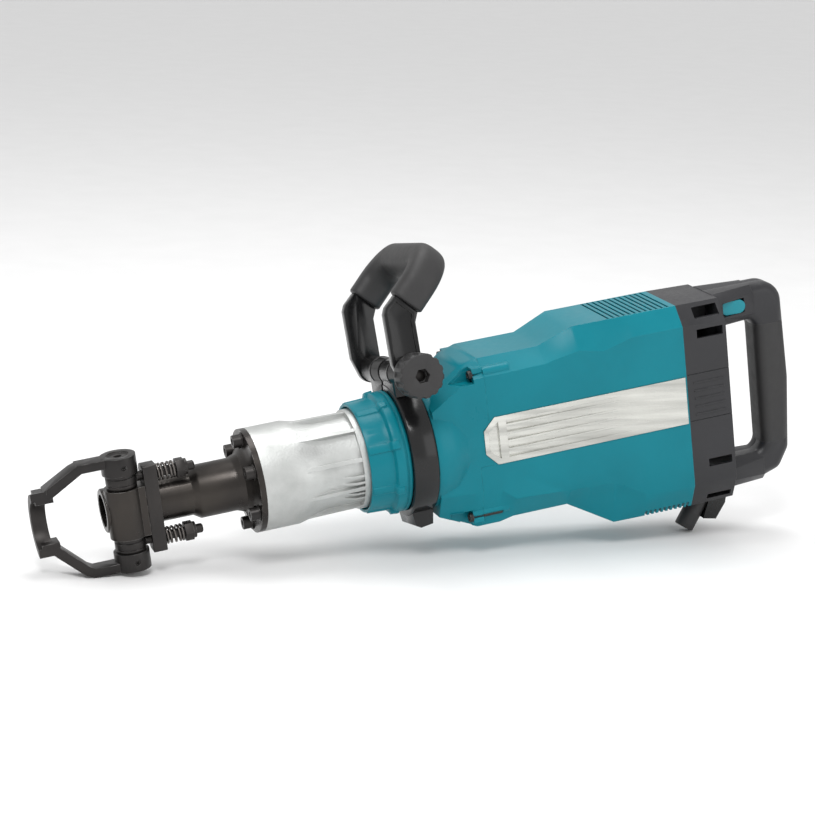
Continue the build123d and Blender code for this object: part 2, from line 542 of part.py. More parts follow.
with BuildPart() as front_housing:
    body_loft(rows_from(STATIONS[0][0], SEAM_HIGH))
    turn([(HOUSING_X, 0), (HOUSING_X, 69), (356, 69.5), (372, 66), (400, 50), (400, 0)])
    body_loft(rows_from(378, SEAM_HIGH), wall=WALL, mode=Mode.SUBTRACT)
    turn([(HOUSING_X + 4, 0), (HOUSING_X + 4, 62), (382, 50), (382, 0)], mode=Mode.SUBTRACT)
    bar(along_x(HOUSING_X - 1), CYLINDER_R + 0.5, 30, mode=Mode.SUBTRACT)
    bar(along_x(HOUSING_X - 1), BARREL_TAIL_R - 1, 32, mode=Mode.SUBTRACT)
    for side, y, z, seam in SCREW_SPOTS:
        low, high = sorted((side * (y - 9), side * 60))
        reach = (z - 8, z + 40) if z > 0 else (z - 40, z + 8)
        block((seam - 36, seam - 12), (low, high), reach, mode=Mode.SUBTRACT)
        block((seam - 12, seam), sorted((side * (y - 8), side * (y + 3))), (z - 7, z + 7))
        bar(along_x(seam - 14, side * y, z), 3.05, 30, mode=Mode.SUBTRACT)
    block((SEAM_LOW, SEAM_HIGH + 1), (-60, 60), (-140, PANEL_LOW), mode=Mode.SUBTRACT)
    panel_windows()
keep(front_housing, "front_housing")

with BuildPart() as upper_cover:
    body_loft(rows_from(SEAM_HIGH, REAR_X))
    body_loft(rows_from(SEAM_HIGH, REAR_X), wall=WALL, mode=Mode.SUBTRACT)
    block((SEAM_HIGH, REAR_X), (-60, 60), (-130, COVER_SPLIT), mode=Mode.SUBTRACT)
    panel_windows()
    for slot in range(12):
        block((566 + 6.4 * slot, 568.6 + 6.4 * slot), (-38, 38), (100, 112), mode=Mode.SUBTRACT)
    for side, y, z, seam in SCREW_SPOTS[:2]:
        bar(along_x(seam, side * (y - 1), z), 6.5, 30)
        bar(along_x(seam - 1, side * y, z), 2.5, 24, mode=Mode.SUBTRACT)
keep(upper_cover, "upper_cover")

with BuildPart() as lower_cover:
    body_loft(rows_from(SEAM_LOW, REAR_X))
    body_loft(rows_from(SEAM_LOW, REAR_X), wall=WALL, mode=Mode.SUBTRACT)
    block((SEAM_LOW, REAR_X), (-60, 60), (COVER_SPLIT, 120), mode=Mode.SUBTRACT)
    block((SEAM_LOW - 1, SEAM_HIGH), (-60, 60), (PANEL_LOW, 120), mode=Mode.SUBTRACT)
    panel_windows()
    for slot in range(10):
        block((589 + 5.6 * slot, 592 + 5.6 * slot), (-45, 45), (-130, -116), mode=Mode.SUBTRACT)
    for side, y, z, seam in SCREW_SPOTS[2:]:
        bar(along_x(seam, side * (y - 4), z + 4), 7, 30)
        bar(along_x(seam - 1, side * y, z), 2.5, 24, mode=Mode.SUBTRACT)
keep(lower_cover, "lower_cover")

with BuildPart() as body_screws:
    for side, y, z, seam in SCREW_SPOTS:
        bar(along_x(seam - 16, side * y, z), 5.0, 4)
        bar(along_x(seam - 12, side * y, z), 2.4, 34)
        prism(along_x(seam - 16, side * y, z), 6, 4.5, 2, mode=Mode.SUBTRACT)
keep(body_screws, "body_screws")

for side, label in ((-1, "side_panel_near"), (1, "side_panel_far")):
    with BuildPart() as side_panel:
        slab(PANEL_OUTLINE, sorted((side * (HALF_WIDTH - WALL), side * (HALF_WIDTH + 1))))
        with BuildSketch(Plane.XY.offset(PANEL_LOW + 6)) as wedge:
            with BuildLine():
                Polyline((433, side * 57), (433, side * 52.2), (592, side * 56.2), (592, side * 57),
                         close=True)
            make_face()
        extrude(wedge.sketch, amount=PANEL_HIGH - PANEL_LOW - 12, mode=Mode.SUBTRACT)
        slab([(PANEL_X + 5, -5.5), (PANEL_X + 5, 15.5), (424, 26), (424, -16)],
             sorted((side * 53, side * 57)), mode=Mode.SUBTRACT)
        for fin in range(4):
            block((433, 592), sorted((side * 52, side * (HALF_WIDTH + 0.6))),
                  (-8.6 + 9.2 * fin, -6.2 + 9.2 * fin))
    keep(side_panel, label)

# ---- rear housing, D handle and switch --------------------------------------------------------
OUTLINE = [(REAR_BACK - 8, 108.5), (HANDLE_BACK - 1, 108.5), (HANDLE_BACK + HANDLE_BOW, -5),
           (HANDLE_BACK - 3, -88), (770, -110), (742, -119), (REAR_BACK - 8, -124)]
OUTLINE_R = [1, 24, 60, 14, 14, 20, 1]
GAP = [(REAR_BACK - 20, GAP_TOP), (GAP_BACK, GAP_TOP), (GAP_BACK, GAP_LOW), (REAR_BACK - 20, GAP_LOW)]
REAR_ROWS = [STATIONS[-1], (REAR_BACK, 108.0, 37.0, 86.0, -94.0, -121.0)]
# air slots in the rear housing: start in X, low and high in Z, and how deep from the middle
REAR_SLOTS = [(663, 93, 104, 36), (662, 72, 82, 47), (665, -76, -67, 47), (664, -117, -111, 36)]


def bridge(top, low, y_front, y_back, mode=Mode.ADD):
    """Bridge from the rear housing that narrows into the handle's bar."""
    with BuildSketch(along_x(REAR_BACK - 4)) as wide:
        with Locations((0, (top + low) / 2)):
            Rectangle(2 * y_front, top - low)
        chamfer(wide.vertices(), 12)
    with BuildSketch(along_x(GAP_BACK - 2)) as narrow:
        with Locations((0, (top + low) / 2)):
            Rectangle(2 * y_back, top - low)
        chamfer(narrow.vertices(), 7)
    loft([wide.sketch, narrow.sketch], ruled=True, mode=mode)


with BuildPart() as rear_housing:
    body_loft(REAR_ROWS)
    body_loft([REAR_ROWS[0], (REAR_BACK - 4, 108.0, 37.0, 86.0, -94.0, -121.0)], wall=WALL,
              mode=Mode.SUBTRACT)
    for side in (1, -1):
        for start, low, high, deep in REAR_SLOTS:
            block((start, REAR_BACK - 4), sorted((side * deep, side * 60)), (low, high),
                  mode=Mode.SUBTRACT)
        for split in (33.0, -20.0):
            block((REAR_X + 1, REAR_BACK + 1), sorted((side * (HALF_WIDTH - 0.7), side * 60)),
                  (split - 0.4, split + 0.4), mode=Mode.SUBTRACT)
        for rib in range(5):
            block((654, 690), sorted((side * (HALF_WIDTH - 1), side * (HALF_WIDTH + 0.8))),
                  (-14 + 9 * rib, -12 + 9 * rib))
    with BuildSketch(Plane((GUARD_TIP_X, 0, GUARD_TIP_Z),
                           z_dir=(sin(radians(GUARD_LEAN)), 0, cos(radians(GUARD_LEAN))))) as hole:
        Circle(8.2)
    extrude(hole.sketch, amount=66, mode=Mode.SUBTRACT)
    block((REAR_BACK - 6, REAR_BACK + 1), (-9, 9), (84, 96), mode=Mode.SUBTRACT)
keep(rear_housing, "rear_housing")


GRIP_LOW, GRIP_HIGH, CORE_FRONT, CORE_BACK, CORE_HALF = -76.0, 62.0, 756.0, 780.0, 13.0


# the whole D, before it is cut into two halves and a grip
with BuildPart() as whole_bar:
    rounded_slab(OUTLINE, OUTLINE_R, (-HANDLE_HALF, HANDLE_HALF))
    rounded_slab(GAP, [1, 13, 13, 1], (-60, 60), mode=Mode.SUBTRACT)
    rims = whole_bar.faces().filter_by(Axis.Y)
    fillet(rims.edges().filter_by(lambda edge: edge.center().X > REAR_BACK + 20), 11)

for side, label in ((-1, "handle_half_near"), (1, "handle_half_far")):
    with BuildPart() as handle_half:
        add(whole_bar.part)
        block((GAP_BACK - 2, 800), (-30, 30), (GRIP_LOW, GRIP_HIGH), mode=Mode.SUBTRACT)
        block((CORE_FRONT, CORE_BACK), (-CORE_HALF, CORE_HALF), (GRIP_LOW - 1, GRIP_HIGH + 1))
        bridge(108.5, GAP_TOP, 36, 20)
        bridge(GAP_LOW, -119, 32, 19.5)
        block((REAR_X, REAR_BACK), (-60, 60), (-140, 120), mode=Mode.SUBTRACT)
        # hollow for the switch and the leads
        block((REAR_BACK, 740), (-13, 13), (GAP_TOP + 5, 104), mode=Mode.SUBTRACT)
        block((705.5, 735.5), (-60, 60), (82, 98), mode=Mode.SUBTRACT)
        block((REAR_X, 900), sorted((0, -side * 60)), (-140, 140), mode=Mode.SUBTRACT)
    keep(handle_half, label)

with BuildPart() as handle_grip:
    add(whole_bar.part)
    block((600, 900), (-60, 60), (-200, GRIP_LOW), mode=Mode.SUBTRACT)
    block((600, 900), (-60, 60), (GRIP_HIGH, 200), mode=Mode.SUBTRACT)
    block((600, GAP_BACK - 1), (-60, 60), (-200, 200), mode=Mode.SUBTRACT)
    block((CORE_FRONT, CORE_BACK), (-CORE_HALF, CORE_HALF), (-200, 200), mode=Mode.SUBTRACT)
keep(handle_grip, "handle_grip")

with BuildPart() as switch_lever:
    with BuildSketch(along_y(720.5, -27, 90)) as key:
        SlotOverall(29, 15)
    extrude(key.sketch, amount=50)
keep(switch_lever, "switch_lever")

with BuildPart() as cord_guard:
    lean = Vector(sin(radians(GUARD_LEAN)), 0, cos(radians(GUARD_LEAN)))
    base = Plane((GUARD_TIP_X, 0, GUARD_TIP_Z), z_dir=lean)
    bar(base, GUARD_R, 37)
    bar(base.offset(36), 8.0, 24)
    bar(base.offset(-1), 4.6, 70, mode=Mode.SUBTRACT)
keep(cord_guard, "cord_guard")

with BuildPart() as switch_unit:
    block((664, REAR_BACK - 4.3), (-14, 14), (70, 101))
    block((REAR_BACK - 4.3, 705.2), (-8, 8), (86, 94))
keep(switch_unit, "switch_unit")

with BuildPart() as cord_clip:
    slab([(672, -151.5), (687, -155), (700, -138), (703, -124.8), (REAR_BACK + 0.2, -124.8),
          (REAR_BACK - 0.2, -122.4), (684, -122.4)], (-12, 12))
    bar(base, GUARD_R + 0.3, 37.3, mode=Mode.SUBTRACT)
    bar(base.offset(36), 8.3, 26, mode=Mode.SUBTRACT)
keep(cord_clip, "cord_clip")

# ---- gear housing and drive -------------------------------------------------------------------
GEAR_2_Z, GEAR_1_Z, PLATE_Z, COVER_Z = -66.0, -50.5, -38.0, -80.0
CORE_LOW, CORE_HIGH, SHAFT_TOP = 2.0, 56.0, 99.0
with BuildPart() as gear_housing:
    turn([(HOUSING_X + 30.5, CYLINDER_R + 0.02), (HOUSING_X + 30.5, 47.5), (426, 47.5),
          (426, CYLINDER_R + 0.02)])
    block((412, 618), (-46, 46), (PLATE_Z, PLATE_Z + 12))
    turn([(412.2, 0), (412.2, 46), (427, 46), (427, 0)], mode=Mode.SUBTRACT)
    bar(Plane((CRANK_X, 0, PLATE_Z - 1)), 21, 14, mode=Mode.SUBTRACT)
    bar(Plane((LAY_X, 0, PLATE_Z - 1)), 13, 14, mode=Mode.SUBTRACT)
    bar(Plane((MOTOR_X, 0, PLATE_Z - 1)), 17.5, 14, mode=Mode.SUBTRACT)
keep(gear_housing, "gear_housing")

with BuildPart() as gear_cover:
    block((450, 560), (-30, 30), (COVER_Z, COVER_Z + 8))
    bar(Plane((CRANK_X, 0, COVER_Z - 1)), 19, 10, mode=Mode.SUBTRACT)
    bar(Plane((LAY_X, 0, COVER_Z - 1)), 13, 10, mode=Mode.SUBTRACT)
keep(gear_cover, "gear_cover")

with BuildPart() as shaft_bearings:
    bearing(Plane((CRANK_X, 0, COVER_Z)), 10.05, 19, 8)
    bearing(Plane((CRANK_X, 0, PLATE_Z)), 10.05, 21, 12)
    bearing(Plane((LAY_X, 0, COVER_Z)), 7.05, 13, 8)
    bearing(Plane((LAY_X, 0, PLATE_Z + 3)), 7.05, 13, 9)
    bearing(Plane((MOTOR_X, 0, PLATE_Z)), 8.05, 17.5, 12)
    bearing(Plane((MOTOR_X, 0, SHAFT_TOP - 9)), 6.05, 14, 9)
keep(shaft_bearings, "shaft_bearings")

with BuildPart() as crank_gear:
    gear(Plane((CRANK_X, 0, GEAR_2_Z)), TEETH[3], MODULE_2, 12, 10.0, phase=180 / TEETH[3])
keep(crank_gear, "crank_gear")

with BuildPart() as crankshaft:
    bar(Plane((CRANK_X, 0, COVER_Z)), 10.0, 58)
    bar(Plane((CRANK_X, 0, -22)), 40, 12)
    bar(Plane((CRANK_X - THROW, 0, -10)), 9, 3.6)
    with BuildSketch(Plane((CRANK_X, 0, -21.9))) as lightening:
        with PolarLocations(26, 2, start_angle=60, angular_range=-120, endpoint=True):
            Circle(8)
    extrude(lightening.sketch, amount=12, mode=Mode.SUBTRACT)
keep(crankshaft, "crankshaft")

with BuildPart() as lay_gear:
    gear(Plane((LAY_X, 0, GEAR_1_Z)), TEETH[1], MODULE_1, 9, 7.0, phase=180 / TEETH[1])
keep(lay_gear, "lay_gear")

with BuildPart() as lay_shaft:
    bar(Plane((LAY_X, 0, COVER_Z)), 7.0, 53)
    gear(Plane((LAY_X, 0, GEAR_2_Z - 1.5)), TEETH[2], MODULE_2, 15, 6.9)
keep(lay_shaft, "lay_shaft")

# ---- motor, standing across the body --------------------------------------------------------------
with BuildPart() as armature_shaft:
    bar(Plane((MOTOR_X, 0, GEAR_1_Z + 9)), 6.0, SHAFT_TOP - GEAR_1_Z - 9)
    bar(Plane((MOTOR_X, 0, PLATE_Z - 2)), 8.0, 26)
    gear(Plane((MOTOR_X, 0, GEAR_1_Z - 1)), TEETH[0], MODULE_1, 10.5, 0.01)
keep(armature_shaft, "armature_shaft")

with BuildPart() as armature_core:
    with BuildSketch(Plane((MOTOR_X, 0, CORE_LOW))) as lamination:
        Circle(27)
        with PolarLocations(25, 16):
            Rectangle(5, 2.2, mode=Mode.SUBTRACT)
        Circle(6.0, mode=Mode.SUBTRACT)
    extrude(lamination.sketch, amount=CORE_HIGH - CORE_LOW)
keep(armature_core, "armature_core")

with BuildPart() as armature_windings:
    for low in (CORE_LOW - 9, CORE_HIGH):
        bar(Plane((MOTOR_X, 0, low)), 24, 9, bore=8.1)
    fillet(armature_windings.edges().filter_by(GeomType.CIRCLE).filter_by(lambda e: e.radius > 20), 3)
keep(armature_windings, "armature_windings")

with BuildPart() as commutator:
    with BuildSketch(Plane((MOTOR_X, 0, CORE_HIGH + 10))) as bars:
        Circle(16)
        with PolarLocations(15.8, 24):
            Rectangle(1.6, 0.7, mode=Mode.SUBTRACT)
        Circle(6.0, mode=Mode.SUBTRACT)
    extrude(bars.sketch, amount=19)
keep(commutator, "commutator")

with BuildPart() as fan:
    bar(Plane((MOTOR_X, 0, -23)), 12, 13, bore=8.0)
    bar(Plane((MOTOR_X, 0, -23)), 40, 2.5, bore=11)
    for blade in range(13):
        with BuildSketch(Plane((MOTOR_X, 0, -21)).rotated((0, 0, 360 / 13 * blade))) as vane:
            with Locations((25, 0)):
                Rectangle(28, 2, rotation=24)
        extrude(vane.sketch, amount=9)
keep(fan, "fan")

with BuildPart() as stator_core:
    with BuildSketch(Plane((MOTOR_X, 0, CORE_LOW))) as field:
        Circle(45)
        Rectangle(52, 68, mode=Mode.SUBTRACT)
        for side in (1, -1):
            with Locations((0, side * 33)):
                Rectangle(44, 12)
        Circle(27.6, mode=Mode.SUBTRACT)
    extrude(field.sketch, amount=CORE_HIGH - CORE_LOW)
keep(stator_core, "stator_core")

with BuildPart() as field_coils:
    for side in (1, -1):
        block((MOTOR_X - 25.7, MOTOR_X + 25.7), sorted((side * 29, side * 33.7)),
              (CORE_LOW - 7, CORE_HIGH + 7))
        block((MOTOR_X - 22.1, MOTOR_X + 22.1), sorted((side * 28, side * 37)), (CORE_LOW, CORE_HIGH),
              mode=Mode.SUBTRACT)
    bar(Plane((MOTOR_X, 0, CORE_LOW - 8)), 27.8, 80, mode=Mode.SUBTRACT)
keep(field_coils, "field_coils")

with BuildPart() as brush_holders:
    for side in (1, -1):
        block((MOTOR_X - 8, MOTOR_X + 8), sorted((side * 19, side * 44)), (68, 82))
        block((MOTOR_X - 5, MOTOR_X + 5), sorted((side * 18, side * 42)), (70.5, 79.5),
              mode=Mode.SUBTRACT)
keep(brush_holders, "brush_holders")

with BuildPart() as carbon_brushes:
    for side in (1, -1):
        block((MOTOR_X - 4.9, MOTOR_X + 4.9), sorted((side * 16.2, side * 34)), (70.6, 79.4))
keep(carbon_brushes, "carbon_brushes")

with BuildPart() as motor_frame:
    bar(Plane((MOTOR_X, 0, PLATE_Z + 12)), 47.5, 117, bore=45.0)
    bar(Plane((MOTOR_X, 0, SHAFT_TOP - 9)), 20, 9, bore=14)
    for side in (1, -1):
        block((MOTOR_X - 46, MOTOR_X + 46), sorted((side * 16, side * 20)), (86, 91))
        block((MOTOR_X - 9, MOTOR_X + 9), sorted((side * 40, side * 60)), (67, 83), mode=Mode.SUBTRACT)
    block((MOTOR_X - 20, MOTOR_X + 20), (-16, 16), (86, 91))
    bar(Plane((MOTOR_X, 0, 80)), 14, 30, mode=Mode.SUBTRACT)
keep(motor_frame, "motor_frame")

with BuildPart() as speed_controller:
    block((578, 628), (-26, 26), (-112, -84))
    for fin in range(5):
        block((583 + 9 * fin, 585 + 9 * fin), (-24, 24), (-84, -78))
keep(speed_controller, "speed_controller")
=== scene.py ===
import bmesh
import bpy
import json
from math import cos, pi, radians, sin, tau
from mathutils import Matrix, Vector
from mathutils.bvhtree import BVHTree


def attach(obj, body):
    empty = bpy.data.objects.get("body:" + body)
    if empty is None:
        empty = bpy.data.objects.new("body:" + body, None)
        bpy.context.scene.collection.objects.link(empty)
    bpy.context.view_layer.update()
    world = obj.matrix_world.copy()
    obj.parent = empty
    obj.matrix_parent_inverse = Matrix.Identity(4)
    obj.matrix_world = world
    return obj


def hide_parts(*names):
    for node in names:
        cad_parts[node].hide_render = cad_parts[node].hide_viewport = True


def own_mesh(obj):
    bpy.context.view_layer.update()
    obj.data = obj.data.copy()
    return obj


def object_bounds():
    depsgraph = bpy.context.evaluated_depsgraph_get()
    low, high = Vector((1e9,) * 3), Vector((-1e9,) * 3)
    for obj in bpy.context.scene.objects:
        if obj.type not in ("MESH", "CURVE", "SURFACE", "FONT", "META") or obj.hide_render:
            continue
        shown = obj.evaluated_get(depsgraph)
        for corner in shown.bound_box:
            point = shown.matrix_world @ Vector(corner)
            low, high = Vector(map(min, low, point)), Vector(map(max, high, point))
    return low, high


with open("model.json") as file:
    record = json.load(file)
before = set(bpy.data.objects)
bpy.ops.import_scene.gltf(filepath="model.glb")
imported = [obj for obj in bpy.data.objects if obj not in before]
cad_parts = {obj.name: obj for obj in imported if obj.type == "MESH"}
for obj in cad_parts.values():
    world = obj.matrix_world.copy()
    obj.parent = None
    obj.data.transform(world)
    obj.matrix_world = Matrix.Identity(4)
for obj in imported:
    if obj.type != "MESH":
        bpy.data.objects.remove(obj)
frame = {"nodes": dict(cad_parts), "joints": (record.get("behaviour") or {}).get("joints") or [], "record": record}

cad_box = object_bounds()

# ---- the hammer's own axes inside the row frame ---------------------------------------------
SWING = next(joint for joint in frame["joints"] if joint["name"] == "retainer_swing")
UP = Vector(SWING["axis"]).normalized()
ACROSS = Vector((0.0, 1.0, 0.0))
ALONG = ACROSS.cross(UP).normalized()
HAMMER = Matrix((ALONG, ACROSS, UP)).transposed()


def lay(x, y, z):
    """A point given along, across and up the hammer, in millimetres, as a row frame point."""
    return HAMMER @ Vector((x, y, z)) / 1000.0


# ---- camera -----------------------------------------------------------------------------------
EYE = lay(-412.8, -2456.7, 825.2)
FORWARD = HAMMER @ Vector((0.2812, 0.9145, -0.2908))
HEAD = HAMMER @ Vector((0.1927, 0.2431, 0.9507))
RIGHT = FORWARD.cross(HEAD).normalized()
HEAD = RIGHT.cross(FORWARD).normalized()
lens = bpy.data.cameras.new("camera")
lens.lens, lens.sensor_width = 110.4, 36.0
lens.clip_start = 0.05
camera = bpy.data.objects.new("camera", lens)
camera.matrix_world = Matrix.Translation(EYE) @ Matrix((RIGHT, HEAD, -FORWARD)).transposed().to_4x4()
bpy.context.scene.collection.objects.link(camera)
bpy.context.scene.camera = camera


# ---- materials ----------------------------------------------------------------------------------
def build_material(name, colour, second, rough, spread, metal=0.0, grain=900.0, bump=0.1,
                   depth=0.0002, stretch=(1, 1, 1), worn=None, wear=0.35, edge=0.0008, patches=14.0,
                   gloss=0.5, streaked=False):
    """Material with mottled colour or streaks of painted reflection, uneven roughness, fine grain and worn edges.
    """
    made = bpy.data.materials.new(name)
    made.use_nodes = True
    nodes, links = made.node_tree.nodes, made.node_tree.links
    shader = nodes["Principled BSDF"]
    shader.inputs["Metallic"].default_value = metal
    shader.inputs["Specular IOR Level"].default_value = gloss
    place = nodes.new("ShaderNodeTexCoord")
    turned = nodes.new("ShaderNodeMapping")
    turned.inputs["Scale"].default_value = stretch
    links.new(place.outputs["Object"], turned.inputs["Vector"])

    def noise(scale, detail, source):
        texture = nodes.new("ShaderNodeTexNoise")
        texture.inputs["Scale"].default_value = scale
        texture.inputs["Detail"].default_value = detail
        links.new(source, texture.inputs["Vector"])
        return texture.outputs["Fac"]

    # with streaked set, the broad colour patches stretch into streaks of painted reflection
    broad = noise(patches, 5.0, turned.outputs["Vector"] if streaked else place.outputs["Object"])
    fine = noise(grain, 3.0, turned.outputs["Vector"])
    middle = noise(grain * 0.15, 4.0, turned.outputs["Vector"])

    def ranged(source, low, high, start=0.3, end=0.7):
        spreader = nodes.new("ShaderNodeMapRange")
        for key, value in (("From Min", start), ("From Max", end), ("To Min", low), ("To Max", high)):
            spreader.inputs[key].default_value = value
        links.new(source, spreader.inputs["Value"])
        return spreader.outputs["Result"]

    def mixed(factor, first, other):
        mixer = nodes.new("ShaderNodeMix")
        mixer.data_type = "RGBA"
        links.new(factor, mixer.inputs[0])
        for socket, value in ((mixer.inputs[6], first), (mixer.inputs[7], other)):
            if isinstance(value, tuple):
                socket.default_value = (*value, 1.0)
            else:
                links.new(value, socket)
        return mixer.outputs[2]

    base = mixed(ranged(broad, 0.0, 1.0), colour, second)
    if worn:
        shape = nodes.new("ShaderNodeNewGeometry")
        worn_edge = nodes.new("ShaderNodeBevel")
        worn_edge.samples = 6
        worn_edge.inputs["Radius"].default_value = 1.6 * edge
        facing = nodes.new("ShaderNodeVectorMath")
        facing.operation = "DOT_PRODUCT"
        links.new(worn_edge.outputs["Normal"], facing.inputs[0])
        links.new(shape.outputs["Normal"], facing.inputs[1])
        rim = ranged(facing.outputs["Value"], wear, 0.0, 0.72, 0.97)
        broken = nodes.new("ShaderNodeMath")
        broken.operation = "MULTIPLY"
        links.new(rim, broken.inputs[0])
        links.new(ranged(middle, 0.0, 1.0, 0.42, 0.6), broken.inputs[1])
        base = mixed(broken.outputs["Value"], base, worn)
    links.new(base, shader.inputs["Base Color"])
    uneven = nodes.new("ShaderNodeMath")
    uneven.operation = "ADD"
    links.new(ranged(broad, rough - spread, rough + spread), uneven.inputs[0])
    links.new(ranged(middle, -spread / 2, spread / 2), uneven.inputs[1])
    links.new(uneven.outputs["Value"], shader.inputs["Roughness"])
    rounded = nodes.new("ShaderNodeBevel")
    rounded.samples = 4
    rounded.inputs["Radius"].default_value = edge
    relief = nodes.new("ShaderNodeBump")
    relief.inputs["Strength"].default_value = bump
    relief.inputs["Distance"].default_value = depth
    links.new(fine, relief.inputs["Height"])
    links.new(rounded.outputs["Normal"], relief.inputs["Normal"])
    links.new(relief.outputs["Normal"], shader.inputs["Normal"])
    return made


TURNED = (9.0, 1.0, 1.0)
BRIGHT = (0.55, 0.54, 0.53)
MATERIALS = {
    "nose_steel": build_material("nose_steel", (0.026, 0.024, 0.024), (0.050, 0.044, 0.039), 0.30, 0.08,
                                 metal=0.85, grain=700, bump=0.12, worn=BRIGHT, wear=0.4),
    "black_steel": build_material("black_steel", (0.022, 0.021, 0.021), (0.044, 0.040, 0.038), 0.40,
                                  0.09, metal=0.75, grain=700, bump=0.22, worn=BRIGHT, wear=0.45),
    "bright_steel": build_material("bright_steel", (0.42, 0.41, 0.40), (0.30, 0.29, 0.27), 0.30, 0.08,
                                   metal=1.0, grain=400, bump=0.1, stretch=TURNED),
    "spring_wire": build_material("spring_wire", (0.20, 0.185, 0.17), (0.11, 0.10, 0.095), 0.34,
                                  0.08, metal=0.95, grain=500, bump=0.15),
    "cast_aluminium": build_material("cast_aluminium", (0.57, 0.58, 0.57), (0.43, 0.44, 0.43), 0.46,
                                     0.10, metal=0.85, grain=420, bump=0.55, depth=0.0005,
                                     worn=(0.8, 0.8, 0.8), wear=0.4, patches=26.0),
    "teal_paint": build_material("teal_paint", (0.0006, 0.155, 0.198), (0.0010, 0.180, 0.228), 0.34,
                                 0.05, grain=1100, bump=0.07, worn=(0.03, 0.36, 0.42), wear=0.3,
                                 edge=0.0015, gloss=0.2),
    "switch_blue": build_material("switch_blue", (0.003, 0.22, 0.27), (0.004, 0.20, 0.25), 0.34, 0.05,
                                  grain=1300, bump=0.06, worn=(0.08, 0.45, 0.5), wear=0.2,
                                  gloss=0.35),
    # the silver panel's dark and bright streaks along its length are painted reflection bands
    "silver_panel": build_material("silver_panel", (0.66, 0.66, 0.62), (0.40, 0.40, 0.375), 0.27, 0.06,
                                   metal=1.0, grain=300, bump=0.08, stretch=(0.4, 7.0, 7.0),
                                   worn=(0.85, 0.85, 0.82), wear=0.4, patches=16.0, streaked=True),
    "black_plastic": build_material("black_plastic", (0.013, 0.013, 0.015), (0.020, 0.020, 0.023), 0.42,
                                    0.08, grain=1500, bump=0.25, depth=0.0003,
                                    worn=(0.09, 0.09, 0.095), wear=0.3, edge=0.0012, gloss=0.42),
    "black_rubber": build_material("black_rubber", (0.014, 0.014, 0.015), (0.022, 0.021, 0.021), 0.55,
                                   0.07, grain=900, bump=0.4, depth=0.0004,
                                   worn=(0.08, 0.078, 0.075), wear=0.25, edge=0.0015),
    "black_paint": build_material("black_paint", (0.007, 0.007, 0.0075), (0.011, 0.011, 0.011), 0.20,
                                  0.06, grain=1000, bump=0.08, worn=(0.25, 0.24, 0.23), wear=0.35,
                                  gloss=0.35),
    "bronze": build_material("bronze", (0.55, 0.36, 0.15), (0.45, 0.29, 0.12), 0.32, 0.08, metal=1.0,
                             grain=400, stretch=TURNED),
    "ring_polymer": build_material("ring_polymer", (0.07, 0.045, 0.03), (0.05, 0.03, 0.02), 0.5, 0.06),
    "lamination": build_material("lamination", (0.24, 0.24, 0.25), (0.16, 0.15, 0.14), 0.45, 0.1,
                                 metal=0.9, grain=300, bump=0.4, stretch=(1.0, 1.0, 9.0)),
    "copper": build_material("copper", (0.60, 0.24, 0.09), (0.42, 0.16, 0.06), 0.35, 0.1, metal=0.9,
                             grain=500, bump=0.5, stretch=(1.0, 1.0, 5.0)),
    "carbon": build_material("carbon", (0.022, 0.022, 0.023), (0.04, 0.04, 0.04), 0.55, 0.08),
}


# ---- clean, rounded edges on the CAD pieces ---------------------------------------------------------
def smooth_group(limit):
    """Geometry nodes that smooth every edge shallower than the limit."""
    tree = bpy.data.node_groups.new("smooth_shallow", "GeometryNodeTree")
    tree.interface.new_socket("Geometry", in_out="INPUT", socket_type="NodeSocketGeometry")
    tree.interface.new_socket("Geometry", in_out="OUTPUT", socket_type="NodeSocketGeometry")
    start, end = tree.nodes.new("NodeGroupInput"), tree.nodes.new("NodeGroupOutput")
    faces = tree.nodes.new("GeometryNodeSetShadeSmooth")
    edges = tree.nodes.new("GeometryNodeSetShadeSmooth")
    edges.domain = "EDGE"
    angle = tree.nodes.new("GeometryNodeInputMeshEdgeAngle")
    shallow = tree.nodes.new("FunctionNodeCompare")
    shallow.data_type = "FLOAT"
    shallow.operation = "LESS_THAN"
    shallow.inputs[1].default_value = limit
    tree.links.new(start.outputs[0], faces.inputs["Geometry"])
    tree.links.new(faces.outputs[0], edges.inputs["Geometry"])
    tree.links.new(angle.outputs["Unsigned Angle"], shallow.inputs[0])
    tree.links.new(shallow.outputs[0], edges.inputs["Shade Smooth"])
    tree.links.new(edges.outputs[0], end.inputs[0])
    return tree


SMOOTH_UNDER, ROUND_OVER, FLAT_WITHIN, WELD_WITHIN = radians(32), radians(34), radians(0.3), 1e-6
SMOOTH = smooth_group(SMOOTH_UNDER)
# flat faces with many openings keep their own triangles, and round their edges in the material
PIERCED = {"upper_cover", "lower_cover", "rear_housing", "barrel_housing", "side_panel_near",
           "side_panel_far", "tool_holder", "front_housing"}
SLOTS = {entry["node"]: entry["material_slot"] for entry in frame["record"]["subparts"]}
EDGE_WIDTHS = {"teal_paint": 0.0012, "black_plastic": 0.0009, "silver_panel": 0.0004,
               "black_rubber": 0.0008, "black_paint": 0.0008, "nose_steel": 0.0007,
               "black_steel": 0.0006, "cast_aluminium": 0.0008}
INSIDE = {"gear_housing", "gear_cover", "motor_frame", "speed_controller", "fan", "brush_holders",
          "switch_unit", "nose_buffer"}


